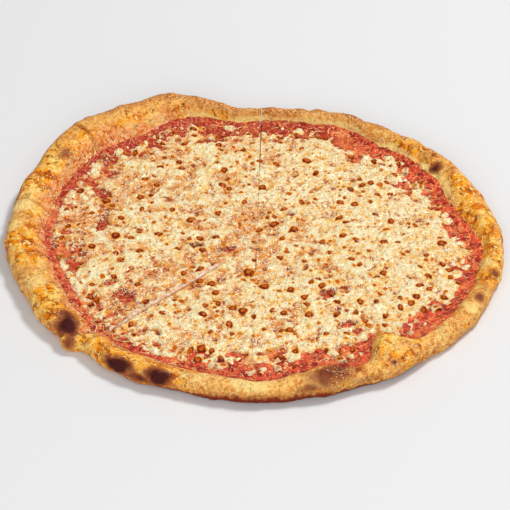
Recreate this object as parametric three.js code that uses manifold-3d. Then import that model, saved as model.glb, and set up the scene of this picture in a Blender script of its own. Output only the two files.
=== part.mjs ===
// A whole hand-stretched pizza, cut with a wheel into eight slices that still
// lie together. Each slice has three layers: the baked dough with its rim,
// the tomato sauce, and the melted cheese. Millimetres, +Z up; the origin is
// the middle of the underside, and +X runs along the longest way across.
import * as THREE from 'three';
import { mergeVertices } from 'three/addons/utils/BufferGeometryUtils.js';
import Module from 'manifold-3d';

const wasm = await Module();
wasm.setup();

// The round before it puffs up: a slightly oval disc of dough. All angles and
// radii are taken round the point where the cuts meet, a little off its middle.
const HALF_WIDTH = 169;
const HALF_DEPTH = 151;
const CUTS_OFF_MIDDLE = new THREE.Vector2(1, 2);

// The rim, where no swelling changes it
const RIM_WIDTH = 17;
const RIM_HEIGHT = 14;
const RIM_BULGE = 0.42;      // height of the widest point, as a share of the rim's height
const RIM_CROWN = 0.5;       // how far in the highest point lies, as a share of the rim's width
const RIM_UNDERCUT = 0.34;   // how far in the flat underside ends, as a share of the rim's width
const RIM_ROUNDNESS = 1.4;   // widest that the round part gets, as a share of the rim's height

// The layers, with the gap that keeps neighbouring solids apart
const BED = 4;
const SAUCE = 1.2;
const CHEESE = 2.6;
const GAP = 0.3;
const SAUCE_INSET = 1;       // from the foot of the rim to the edge of the sauce
const CHEESE_INSET = 12;     // from the foot of the rim to the mean edge of the cheese
const CHEESE_LIP = 1.4;      // radius of the rounded edge of the cheese

// The wheel's four runs, by direction in degrees
const CUT_DIRECTIONS = [-2, 42.5, 88.5, 135];
const KERF = 0.6;
const CUTTER_REACH = 260;
const CUTTER_HEIGHT = 100;

// Steps round the pizza, round each quarter of the rim's section, and round
// the lip of the cheese
const STEPS_ROUND = 120;
const STEPS_QUARTER = 4;
const STEPS_LIP = 2;

// Where the dough swelled, sank or was folded while it baked. Each one is
// centred at an angle, fades out over a span to both sides (degrees), and
// moves the edge out, widens the rim and lifts it (mm).
const SWELLINGS = [
  { at: 18, span: 20, out: 1, wide: 6, up: 0 },
  { at: 40, span: 16, out: 2, wide: 1, up: 1 },
  { at: 66, span: 18, out: 6, wide: -2, up: 1 },
  { at: 87, span: 12, out: 4, wide: -6, up: 0 },
  { at: 113, span: 22, out: 21, wide: 4, up: 6 },
  { at: 135, span: 20, out: 21, wide: 4, up: 7 },
  { at: 156, span: 20, out: 9, wide: 2, up: 4 },
  { at: 179, span: 15, out: 3, wide: 4, up: 2 },
  { at: 200, span: 22, out: -5, wide: 6, up: 1 },
  { at: 217, span: 5, out: 6, wide: 3, up: -1 },
  { at: 227, span: 17, out: -4, wide: -2, up: 0 },
  { at: 256, span: 22, out: -4, wide: -4, up: 0 },
  { at: 289, span: 11, out: 1, wide: 11, up: 3 },
  { at: 310, span: 12, out: 2, wide: 21, up: 5 },
  { at: 330, span: 14, out: 0, wide: 3, up: 1 },
];

// Waves round the edge of the melted cheese
const CHEESE_WAVES = [
  { count: 9, size: 3.0, phase: 20 },
  { count: 16, size: 2.2, phase: 75 },
  { count: 27, size: 1.6, phase: 140 },
];

const DEGREE = Math.PI / 180;

// One raised-cosine hump per swelling, added up for one of its sizes
function swelling(angle, size) {
  let total = 0;
  for (const swell of SWELLINGS) {
    const turn = THREE.MathUtils.euclideanModulo(angle / DEGREE - swell.at + 180, 360) - 180;
    const share = Math.min(Math.abs(turn) / swell.span, 1);
    total += swell[size] * 0.5 * (1 + Math.cos(Math.PI * share));
  }
  return total;
}

function outerRadius(angle) {
  const across = HALF_DEPTH * Math.cos(angle);
  const along = HALF_WIDTH * Math.sin(angle);
  const oval = HALF_WIDTH * HALF_DEPTH / Math.hypot(across, along);
  const offMiddle = CUTS_OFF_MIDDLE.x * Math.cos(angle) + CUTS_OFF_MIDDLE.y * Math.sin(angle);
  return oval - offMiddle + swelling(angle, 'out');
}

function rimFootRadius(angle) {
  return outerRadius(angle) - RIM_WIDTH - swelling(angle, 'wide');
}

function cheeseRadius(angle) {
  let inset = CHEESE_INSET;
  for (const wave of CHEESE_WAVES) {
    inset += wave.size * Math.cos(wave.count * angle + wave.phase * DEGREE);
  }
  return rimFootRadius(angle) - inset;
}

// Section of the dough, from the axis out along the underside, up round the
// outside of the rim, over its crown and back along the bed
function doughSection(angle) {
  const radius = outerRadius(angle);
  const width = RIM_WIDTH + swelling(angle, 'wide');
  const height = RIM_HEIGHT + swelling(angle, 'up');
  const roundPart = Math.min(width, RIM_ROUNDNESS * height);
  const bulge = RIM_BULGE * height;
  const crown = radius - RIM_CROWN * roundPart;
  const foot = radius - width;
  const undercut = RIM_UNDERCUT * roundPart;
  const section = [new THREE.Vector2(0, 0)];
  for (let step = 0; step <= STEPS_QUARTER; step += 1) {
    const turn = 0.5 * Math.PI * step / STEPS_QUARTER;
    section.push(new THREE.Vector2(radius - undercut * (1 - Math.sin(turn)), bulge * (1 - Math.cos(turn))));
  }
  for (let step = 1; step <= STEPS_QUARTER; step += 1) {
    const turn = 0.5 * Math.PI * step / STEPS_QUARTER;
    const inward = (radius - crown) * (1 - Math.cos(turn));
    section.push(new THREE.Vector2(radius - inward, bulge + (height - bulge) * Math.sin(turn)));
  }
  for (let step = 1; step <= STEPS_QUARTER; step += 1) {
    const share = step / STEPS_QUARTER;
    const fall = 0.5 * (1 - Math.cos(Math.PI * share));
    section.push(new THREE.Vector2(crown + (foot - crown) * share, height + (BED - height) * fall));
  }
  section.push(new THREE.Vector2(0, BED));
  return section;
}

// Section of the sauce: a flat layer, a little thinner at its edge
function sauceSection(angle) {
  const radius = rimFootRadius(angle) - SAUCE_INSET;
  const bottom = BED + GAP;
  return [
    new THREE.Vector2(0, bottom),
    new THREE.Vector2(radius, bottom),
    new THREE.Vector2(radius, bottom + 0.5 * SAUCE),
    new THREE.Vector2(radius - SAUCE, bottom + SAUCE),
    new THREE.Vector2(0, bottom + SAUCE),
  ];
}

// Section of the cheese: a flat layer with a rounded lip
function cheeseSection(angle) {
  const radius = cheeseRadius(angle);
  const bottom = BED + GAP + SAUCE + GAP;
  const section = [
    new THREE.Vector2(0, bottom),
    new THREE.Vector2(radius - 0.5 * CHEESE_LIP, bottom),
    new THREE.Vector2(radius, bottom + 0.5 * CHEESE_LIP),
  ];
  for (let step = 0; step <= STEPS_LIP; step += 1) {
    const turn = 0.5 * Math.PI * step / STEPS_LIP;
    const inward = CHEESE_LIP * (1 - Math.cos(turn));
    section.push(new THREE.Vector2(radius - inward, bottom + CHEESE - CHEESE_LIP * (1 - Math.sin(turn))));
  }
  section.push(new THREE.Vector2(0, bottom + CHEESE));
  return section;
}

// Turn a section that changes with the angle into a closed round: a lathed
// body whose rings are then moved to the section at their own angle
function roundGeometry(sectionAt) {
  const points = sectionAt(0).length;
  const geometry = new THREE.LatheGeometry(sectionAt(0), STEPS_ROUND);
  const position = geometry.getAttribute('position');
  for (let ring = 0; ring <= STEPS_ROUND; ring += 1) {
    const angle = 2 * Math.PI * (ring % STEPS_ROUND) / STEPS_ROUND;
    const section = sectionAt(angle);
    for (let point = 0; point < points; point += 1) {
      const { x: radius, y: height } = section[point];
      const across = radius * Math.cos(angle);
      const along = radius * Math.sin(angle);
      position.setXYZ(ring * points + point, across, along, height);
    }
  }
  return geometry;
}

// A three.js geometry as a manifold solid, with its shared vertices merged
// and the flat triangles at the axis left out
function solidFrom(geometry) {
  geometry.deleteAttribute('normal');
  geometry.deleteAttribute('uv');
  const merged = mergeVertices(geometry);
  const corners = Array.from(merged.index.array);
  const triangles = [];
  for (let start = 0; start < corners.length; start += 3) {
    const [a, b, c] = corners.slice(start, start + 3);
    if (a !== b && b !== c && c !== a) {
      triangles.push(a, b, c);
    }
  }
  return new wasm.Manifold(new wasm.Mesh({
    numProp: 3,
    vertProperties: new Float32Array(merged.getAttribute('position').array),
    triVerts: new Uint32Array(triangles),
  }));
}

// A wedge between two neighbouring cuts, half a kerf inside each of them
function wedgeBetween(firstDirection, nextDirection) {
  const middle = 0.5 * (firstDirection + nextDirection) * DEGREE;
  const half = 0.5 * (nextDirection - firstDirection) * DEGREE;
  const tipOffset = 0.5 * KERF / Math.sin(half);
  const tip = new THREE.Vector2(tipOffset, 0).rotateAround(new THREE.Vector2(), middle);
  const outline = new THREE.Shape([
    tip,
    new THREE.Vector2(CUTTER_REACH, 0).rotateAround(new THREE.Vector2(), middle - half).add(tip),
    new THREE.Vector2(CUTTER_REACH / Math.cos(half), 0).rotateAround(new THREE.Vector2(), middle).add(tip),
    new THREE.Vector2(CUTTER_REACH, 0).rotateAround(new THREE.Vector2(), middle + half).add(tip),
  ]);
  const geometry = new THREE.ExtrudeGeometry(outline, { depth: CUTTER_HEIGHT, bevelEnabled: false });
  return geometry.translate(0, 0, -0.5 * CUTTER_HEIGHT);
}

function geometryFrom(solid) {
  const { numProp, vertProperties, triVerts } = solid.getMesh();
  const geometry = new THREE.BufferGeometry();
  const positions = new Float32Array(3 * vertProperties.length / numProp);
  for (let vertex = 0; vertex < vertProperties.length / numProp; vertex += 1) {
    positions.set(vertProperties.slice(vertex * numProp, vertex * numProp + 3), 3 * vertex);
  }
  geometry.setAttribute('position', new THREE.BufferAttribute(positions, 3));
  geometry.setIndex(new THREE.BufferAttribute(new Uint32Array(triVerts), 1));
  geometry.computeVertexNormals();
  return geometry;
}

// Middle of the outline's box, so that the pizza can be set over the origin
function outlineMiddle() {
  const box = new THREE.Box2();
  for (let step = 0; step < STEPS_ROUND; step += 1) {
    const angle = 2 * Math.PI * step / STEPS_ROUND;
    const point = new THREE.Vector2(outerRadius(angle), 0).rotateAround(new THREE.Vector2(), angle);
    box.expandByPoint(point);
  }
  return box.getCenter(new THREE.Vector2());
}

const LAYERS = [
  {
    name: 'crust',
    section: doughSection,
    material: new THREE.MeshStandardMaterial({ color: 0xd9a860, roughness: 0.8, metalness: 0 }),
  },
  {
    name: 'sauce',
    section: sauceSection,
    material: new THREE.MeshStandardMaterial({ color: 0xb8401c, roughness: 0.4, metalness: 0 }),
  },
  {
    name: 'cheese',
    section: cheeseSection,
    material: new THREE.MeshStandardMaterial({ color: 0xefc987, roughness: 0.4, metalness: 0 }),
  },
];

function slicedLayer(layer, group) {
  const whole = solidFrom(roundGeometry(layer.section));
  const rays = [...CUT_DIRECTIONS, ...CUT_DIRECTIONS.map((direction) => direction + 180)];
  rays.forEach((ray, index) => {
    const nextRay = index + 1 < rays.length ? rays[index + 1] : rays[0] + 360;
    const slice = whole.intersect(solidFrom(wedgeBetween(ray, nextRay)));
    const mesh = new THREE.Mesh(geometryFrom(slice), layer.material);
    mesh.name = `slice_${index + 1}_${layer.name}`;
    group.add(mesh);
  });
}

const pizza = new THREE.Group();
for (const layer of LAYERS) {
  slicedLayer(layer, pizza);
}
const middle = outlineMiddle();
pizza.position.set(-middle.x, -middle.y, 0);

export default pizza;
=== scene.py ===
import bpy
import numpy as np
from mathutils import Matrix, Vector


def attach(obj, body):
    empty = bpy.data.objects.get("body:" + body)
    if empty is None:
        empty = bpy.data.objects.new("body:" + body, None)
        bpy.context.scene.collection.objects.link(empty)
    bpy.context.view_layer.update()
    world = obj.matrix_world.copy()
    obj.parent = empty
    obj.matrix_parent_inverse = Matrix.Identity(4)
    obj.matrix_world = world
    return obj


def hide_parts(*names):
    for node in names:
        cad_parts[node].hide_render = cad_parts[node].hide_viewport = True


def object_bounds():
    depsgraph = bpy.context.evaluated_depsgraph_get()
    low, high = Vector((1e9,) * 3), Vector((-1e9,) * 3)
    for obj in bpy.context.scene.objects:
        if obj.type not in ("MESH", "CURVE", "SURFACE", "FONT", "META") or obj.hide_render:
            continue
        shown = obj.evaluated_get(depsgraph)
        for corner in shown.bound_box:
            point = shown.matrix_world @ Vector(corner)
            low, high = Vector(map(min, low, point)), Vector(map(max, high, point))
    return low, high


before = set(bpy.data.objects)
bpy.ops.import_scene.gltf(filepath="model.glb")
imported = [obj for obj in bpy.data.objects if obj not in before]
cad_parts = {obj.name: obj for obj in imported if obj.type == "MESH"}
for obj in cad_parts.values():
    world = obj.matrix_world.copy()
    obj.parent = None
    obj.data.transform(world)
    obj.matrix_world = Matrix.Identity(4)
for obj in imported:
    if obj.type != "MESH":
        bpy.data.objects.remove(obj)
cad_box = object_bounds()

# The dough. One round of wheat dough, stretched by hand: a thin bed inside a
# rim that puffed up in the oven, toasted on its inner slope, dusted with
# semolina, scorched where bubbles rose.
HALF_WIDTH = 169.0
HALF_DEPTH = 151.0
CUTS_OFF_MIDDLE = (1.0, 2.0)    # from the middle of the oval, mm
RIM_HEIGHT = 14.0
RIM_BULGE = 0.42       # height of the widest point, as a share of the rim's height
RIM_CROWN = 0.5        # how far in the highest point lies, as a share of the rim's width
RIM_UNDERCUT = 0.34    # how far in the flat underside ends, as a share of the rim's width
RIM_ROUNDNESS = 1.15   # widest that the round part gets, as a share of the rim's height
BED = 4.0
DEGREE = np.pi / 180.0

# All sizes are in mm. All angles and radii are taken round the point where the
# wheel's cuts meet, and tables give their angles in degrees.

# Width of the rim from its edge to its foot: at (degrees), width (mm). The wide
# part at 303 to 315 is a tongue of dough that was folded inwards.
RIM_WIDTHS = [
    (0, 20), (12, 28), (22, 29), (29, 23), (36, 25), (45, 20), (60, 17), (90, 12), (98, 18), (110, 27),
    (126, 33), (136, 33), (160, 30), (200, 32), (210, 29), (220, 23), (240, 26), (250, 25), (258, 21),
    (270, 19), (280, 22), (286, 27), (292, 27), (296, 19), (302, 24), (307, 38), (310, 42), (312, 32),
    (317, 16), (322, 15), (332, 20), (350, 20),
]

# Small trims to where the edge of the dough runs: at (degrees), outwards (mm)
EDGE_TRIMS = [
    (0, 2), (12, 0), (44, 3), (82, 3), (88, -2), (96, 3), (117, 6), (130, 4), (150, 4), (162, 0), (173, 2),
    (183, -3), (192, 0), (208, 0), (219, -9), (227, -2), (271, 0), (282, -3), (307, 0), (316, -4), (325, -1),
    (345, -1),
]

# Where the dough swelled, sank or was folded in: at, span before, span after
# (degrees), then how far the edge moves out and the rim rises (mm)
SWELLINGS = [
    (18, 20, 20, 1, 0),
    (40, 16, 16, 2, 1),
    (66, 18, 18, 6, 1),
    (87, 12, 12, 4, 0),
    (113, 22, 22, 21, 6),
    (135, 20, 20, 21, 7),
    (156, 20, 20, 9, 4),
    (179, 15, 15, 3, 2),
    (200, 22, 22, -5, 1),
    (218, 4, 4, 6, -2),
    (227, 17, 17, -4, -2),
    (252, 24, 24, -4, -2),
    (288, 10, 10, 1, 3),
    (310, 17, 7, 2, 6),
    (330, 14, 14, 0, 1),
]


def turn_from(angle, at):
    """Turn from a direction in degrees to an angle in radians, from -180 to 180 degrees."""
    return (angle / DEGREE - at + 180.0) % 360.0 - 180.0


def swelling(angle, size):
    total = np.zeros_like(angle)
    for at, before, after, *sizes in SWELLINGS:
        turn = turn_from(angle, at)
        share = np.abs(turn) / np.where(turn < 0, before, after)
        total += sizes[size] * 0.5 * (1.0 + np.cos(np.pi * np.minimum(share, 1.0)))
    return total


def by_angle(angle, table, spread):
    """A value that a table gives at some angles, rounded off over a spread of degrees."""
    places, values = (np.array(column, dtype=float) for column in zip(*table))
    total = np.zeros_like(angle)
    shifts = np.array([-1.5, -0.9, -0.3, 0.3, 0.9, 1.5])
    weights = np.exp(-0.5 * shifts ** 2)
    for shift, weight in zip(shifts, weights / weights.sum()):
        total += weight * np.interp((angle / DEGREE + shift * spread) % 360.0, places, values, period=360.0)
    return total


def smooth_outline(angle):
    oval = HALF_WIDTH * HALF_DEPTH / np.hypot(HALF_DEPTH * np.cos(angle), HALF_WIDTH * np.sin(angle))
    off_middle = CUTS_OFF_MIDDLE[0] * np.cos(angle) + CUTS_OFF_MIDDLE[1] * np.sin(angle)
    return oval - off_middle + swelling(angle, 0)


def rim_sizes(angle):
    """Radius of the edge, width and height of the rim, and the width of its round part."""
    radius = smooth_outline(angle) + by_angle(angle, EDGE_TRIMS, 3.0)
    width = by_angle(angle, RIM_WIDTHS, 1.3)
    height = RIM_HEIGHT + swelling(angle, 1)
    return radius, width, height, np.minimum(width, RIM_ROUNDNESS * height)


def rim_foot(angle):
    radius, width, height, round_part = rim_sizes(angle)
    return radius - width


def slope_drop(inside, width):
    """How far the inner slope has come down, 0 at the crown and 1 at its foot; a
    wide rim keeps its height for longer and then falls steeply."""
    flatness = 1.0 + 1.6 * np.clip((width - 24.0) / 15.0, 0.0, 1.0)
    return 0.5 * (1.0 - np.cos(np.pi * inside ** flatness))


def rim_surface(angle, share):
    """Radius and height on the smooth rim: share 0 to 1 is the underside's edge,
    1 to 2 the outside up to the crown, and 2 to 3 the inner slope down to the bed."""
    radius, width, height, round_part = rim_sizes(angle)
    under = 0.5 * np.pi * np.clip(share, 0.0, 1.0)
    outside = 0.5 * np.pi * np.clip(share - 1.0, 0.0, 1.0)
    inside = np.clip(share - 2.0, 0.0, 1.0)
    bulge = RIM_BULGE * height
    crown = RIM_CROWN * round_part
    inward = RIM_UNDERCUT * round_part * (1.0 - np.sin(under))
    inward = inward + crown * (1.0 - np.cos(outside)) + (width - crown) * inside
    rise = bulge * (1.0 - np.cos(under)) + (height - bulge) * np.sin(outside)
    return radius - inward, rise - (height - BED) * slope_drop(inside, width)


def slope_height(angle, radius):
    """Height of the bed and of the rim's inner slope above it, out to the crown."""
    edge, width, height, round_part = rim_sizes(angle)
    crown = edge - RIM_CROWN * round_part
    inside = np.clip((crown - radius) / (width - RIM_CROWN * round_part), 0.0, 1.0)
    return height - (height - BED) * slope_drop(inside, width)


def dapple(points, size, seed):
    """Smooth random field from -1 to 1 whose dapples are about size mm across."""
    count = 24
    grid = np.random.default_rng(seed).uniform(-1.0, 1.0, (count, count, count))
    place = points / size
    cell = np.floor(place).astype(int)
    part = place - cell
    part = part * part * (3.0 - 2.0 * part)
    total = np.zeros(points.shape[:-1])
    for corner in range(8):
        step = (corner & 1, corner >> 1 & 1, corner >> 2)
        weight = np.ones_like(total)
        for axis in range(3):
            weight = weight * (part[..., axis] if step[axis] else 1.0 - part[..., axis])
        x, y, z = ((cell[..., axis] + step[axis]) % count for axis in range(3))
        total += weight * grid[x, y, z]
    return total


# The wheel's cuts. Most of their length has closed up again; the rear one gapes
# at the rim, and the front left one gapes where the cheese pulled apart. Each
# cut gives half its gap, in mm, at a few radii.
CUT_DIRECTIONS = [-2.0, 42.5, 88.5, 135.0, 178.0, 222.5, 268.5, 315.0, 358.0]
HALF_GAPS = [
    ((0, 0.01), (140, 0.01), (155, 0.10), (175, 0.15)),
    ((0, 0.01), (135, 0.01), (150, 0.20), (175, 0.25)),
    ((0, 0.01), (70, 0.01), (85, 0.04), (125, 0.05), (145, 0.30), (175, 0.40)),
    ((0, 0.01), (24, 0.01), (28, 0.04), (48, 0.04), (53, 0.01), (165, 0.01), (190, 0.15)),
    ((0, 0.01), (150, 0.01), (175, 0.15)),
    ((0, 0.01), (24, 0.02), (40, 0.03), (125, 0.035), (140, 0.08), (175, 0.20)),
    ((0, 0.01), (10, 0.04), (25, 0.04), (30, 0.01), (140, 0.01), (175, 0.10)),
    ((0, 0.01), (145, 0.01), (175, 0.15)),
]


def half_gap(cut, radius):
    places, gaps = zip(*HALF_GAPS[cut % 8])
    return np.interp(radius, places, gaps)


def tip_angle(wedge):
    """Angle of a slice's middle, where its tip points from."""
    return np.array([0.5 * (CUT_DIRECTIONS[wedge] + CUT_DIRECTIONS[wedge + 1]) * DEGREE])


def row_angles(wedge, radius_at, step):
    """Angles of a row's points across one slice, half a gap inside each cut."""
    first = CUT_DIRECTIONS[wedge] * DEGREE
    last = CUT_DIRECTIONS[wedge + 1] * DEGREE
    near = float(radius_at(np.array(first)))
    far = float(radius_at(np.array(last)))
    start = first + np.arcsin(min(half_gap(wedge, near) / near, 0.3))
    end = last - np.arcsin(min(half_gap(wedge + 1, far) / far, 0.3))
    count = max(int(np.ceil(0.5 * (near + far) * (end - start) / step)), 1)
    return np.linspace(start, end, count + 1)


def around(angle, radius, height):
    """Points at polar places round the meeting point of the cuts."""
    return np.stack([radius * np.cos(angle), radius * np.sin(angle), height], axis=-1)


def zip_rows(first, second, place_first, place_second):
    """Triangles between two rows of vertex numbers, stepping along whichever is behind."""
    middle_first = 0.5 * (place_first[1:] + place_first[:-1])
    middle_second = 0.5 * (place_second[1:] + place_second[:-1])
    on_first = np.arange(len(middle_first) + len(middle_second)) < len(middle_first)
    on_first = on_first[np.argsort(np.concatenate([middle_first, middle_second]), kind="stable")]
    at_first = np.cumsum(on_first) - on_first
    at_second = np.cumsum(~on_first) - ~on_first
    next_first = first[np.minimum(at_first + 1, len(first) - 1)]
    next_second = second[np.minimum(at_second + 1, len(second) - 1)]
    return np.stack([first[at_first], second[at_second], np.where(on_first, next_first, next_second)], axis=1)


def wedge_triangles(rows):
    """Close a wedge whose rows run from the tip outwards over the top and back
    underneath: the skin, then the two cut faces."""
    starts = np.cumsum([0] + [len(row) for row in rows])
    numbers = [np.arange(starts[i], starts[i + 1]) for i in range(len(rows))]
    places = [np.linspace(0.0, 1.0, len(row)) for row in rows]
    skin = [zip_rows(*numbers[i:i + 2], *places[i:i + 2]) for i in range(len(rows) - 1)]
    faces = []
    for end in (0, -1):
        chain = np.array([row[end] for row in numbers])
        radius = np.array([np.hypot(*row[end][:2]) for row in rows])
        outmost = int(np.argmax(radius))
        top, below = chain[:outmost + 1], chain[outmost:][::-1]
        top_place = np.maximum.accumulate(radius[:outmost + 1])
        below_place = np.maximum.accumulate(radius[outmost:][::-1])
        face = zip_rows(top, below, top_place, below_place)
        face = face[(face[:, 0] != face[:, 1]) & (face[:, 1] != face[:, 2]) & (face[:, 2] != face[:, 0])]
        faces.append(face if end == 0 else face[:, ::-1])
    return np.concatenate(skin), np.concatenate(faces)


def make_piece(name, points, skin, cut_faces, marks, materials):
    """A mesh object in the frame, from points in mm; its cut faces are flat and
    take the last material."""
    triangles = np.concatenate([skin, cut_faces]) if len(cut_faces) else skin
    mesh = bpy.data.meshes.new(name)
    mesh.vertices.add(len(points))
    placed = (points + [crossing[0], crossing[1], 0.0]) * 0.001
    mesh.vertices.foreach_set("co", placed.astype(np.float32).ravel())
    mesh.loops.add(3 * len(triangles))
    mesh.loops.foreach_set("vertex_index", triangles.astype(np.int32).ravel())
    mesh.polygons.add(len(triangles))
    mesh.polygons.foreach_set("loop_start", np.arange(0, 3 * len(triangles), 3, dtype=np.int32))
    on_skin = np.arange(len(triangles)) < len(skin)
    mesh.polygons.foreach_set("use_smooth", on_skin)
    mesh.polygons.foreach_set("material_index", np.where(on_skin, 0, len(materials) - 1).astype(np.int32))
    for mark, values in marks.items():
        layer = mesh.attributes.new(mark, "FLOAT", "POINT")
        layer.data.foreach_set("value", np.asarray(values, dtype=np.float32))
    mesh.update(calc_edges=True)
    for material in materials:
        mesh.materials.append(material)
    piece = bpy.data.objects.new(name, mesh)
    bpy.context.scene.collection.objects.link(piece)
    return piece


# The CAD box is centred on the whole outline, so the cuts meet off its middle
ring = np.arange(0.0, 360.0, 3.0) * DEGREE
outline = around(ring, smooth_outline(ring), 0.0 * ring)[:, :2]
crossing = np.array(cad_box[0][:2]) * 1000.0 - outline.min(axis=0)

# Bubbles under the skin of the rim: how many, their smallest and largest radius
# (mm), and their height as a share of their mean radius
RIM_BUBBLES = 70
BUBBLE_RADIUS = (2.5, 7.5)
BUBBLE_HEIGHT = 0.16

# Creases across the rim: at (degrees), depth and half width (mm)
CREASES = [
    (185.5, 1.4, 1.1), (165.5, 0.9, 1.2), (137.5, 1.1, 1.3), (146.0, 0.5, 1.2), (172.0, 0.4, 1.2),
    (205.0, 0.6, 1.6), (218.5, 0.8, 1.4), (60.0, 0.5, 2.0), (38.0, 0.8, 2.0), (343.0, 0.6, 1.8),
    (228.0, 0.6, 1.6), (12.0, 0.4, 1.6), (297.0, 0.6, 2.5), (322.0, 0.5, 2.0),
]

# Scorched spots: at (degrees), share round the rim's section, half length
# along the rim, half width across it (mm), strength
SCORCHES = [
    (215.0, 1.85, 10.5, 9.0, 1.0), (219.0, 1.30, 5.0, 5.0, 0.6), (234.0, 1.40, 13.0, 6.0, 1.0),
    (245.3, 1.50, 10.5, 7.0, 1.0), (240.0, 1.15, 14.0, 3.0, 0.7), (289.0, 1.80, 19.0, 10.5, 0.64),
    (283.0, 1.30, 10.0, 4.0, 0.5), (298.0, 1.20, 11.0, 4.0, 0.4), (305.0, 1.50, 3.0, 1.8, 0.7),
    (32.5, 2.35, 6.0, 7.0, 0.8), (338.0, 1.72, 6.0, 4.5, 0.62), (347.5, 1.58, 5.0, 5.5, 0.58),
    (163.0, 1.35, 16.0, 4.0, 0.4), (122.0, 1.50, 14.0, 3.0, 0.35), (147.0, 2.3, 7.0, 5.0, 0.45),
    (64.0, 1.75, 9.0, 3.0, 0.4), (87.0, 1.8, 7.0, 4.0, 0.3),
]

# How golden and oily the rim's top is, rather than pale and floury, and how
# brown its outer side is: at (degrees), share
GOLDEN_TOPS = [
    (0, 0.75), (20, 0.7), (33, 0.6), (45, 0.3), (60, 0.0), (100, 0.0), (122, 0.15), (138, 0.35), (150, 0.5),
    (157, 0.95), (163, 1.0), (166, 0.6), (169, 0.05), (174, 0.05), (178, 0.9), (184, 1.0), (188, 0.7),
    (191, 0.05), (198, 0.05), (202, 0.9), (208, 0.9), (214, 0.5), (224, 0.95), (236, 0.9), (248, 0.6),
    (262, 0.1), (278, 0.2), (292, 0.5), (308, 0.5), (320, 0.3), (336, 0.4), (350, 0.75),
]
BROWN_SIDES = [
    (0, 0.15), (20, 0.3), (40, 0.5), (60, 0.65), (100, 0.7), (130, 0.7), (165, 0.9), (180, 0.4), (200, 0.3),
    (225, 0.3), (245, 0.6), (275, 0.6), (300, 0.35), (320, 0.3), (340, 0.15),
]

# Where semolina clings to the rim: at, span (degrees), strength
DUSTINGS = [(88, 38, 1.0), (262, 26, 0.7), (308, 22, 0.9), (196, 8, 0.4), (352, 12, 0.3), (140, 12, 0.4)]

# Where the dough stayed pale: at (degrees), on the top, on the inner slope
PALE_TOPS = [
    (4, 0.1), (20, 0.0), (160, 0.0), (169, 0.7), (174, 0.7), (179, 0.0), (188, 0.1), (192, 0.55),
    (199, 0.55), (204, 0.0), (246, 0.0), (254, 0.45), (276, 0.4), (283, 0.1), (300, 0.0), (309, 0.3),
    (316, 0.1), (328, 0.4), (352, 0.4),
]
PALE_SLOPES = [(20, 0.3), (36, 1.0), (58, 0.9), (88, 1.0), (108, 0.8), (130, 0.5), (150, 0.2), (350, 0.2)]

# How much sauce soaked into the inner slope: at (degrees), share
STAINED_SLOPES = [(0, 0.2), (30, 0.3), (60, 0.25), (100, 0.3), (122, 0.9), (212, 1.0), (250, 0.8), (300, 0.4)]

ROW_STEP = 0.75
RIM_ROWS = 52

chance = np.random.default_rng(11)
bubble_angle = chance.uniform(0.0, 2.0 * np.pi, RIM_BUBBLES)
bubble_share = chance.uniform(1.1, 2.75, RIM_BUBBLES)
bubble_radius = chance.uniform(0.0, 1.0, RIM_BUBBLES) ** 1.8
bubble_radius = BUBBLE_RADIUS[0] + (BUBBLE_RADIUS[1] - BUBBLE_RADIUS[0]) * bubble_radius
bubble_centre = around(bubble_angle, *rim_surface(bubble_angle, bubble_share))


def nearness(points, centres, radii):
    """The nearest of some round spots: 1 at its middle, 0 from its edge outwards."""
    best = np.zeros(len(points))
    for centre, radius in zip(centres, radii):
        near = np.abs(points[:, 0] - centre[0]) < radius
        offset = points[near] - centre
        best[near] = np.maximum(best[near], 1.0 - np.sum(offset * offset, axis=1) / radius ** 2)
    return best


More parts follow.
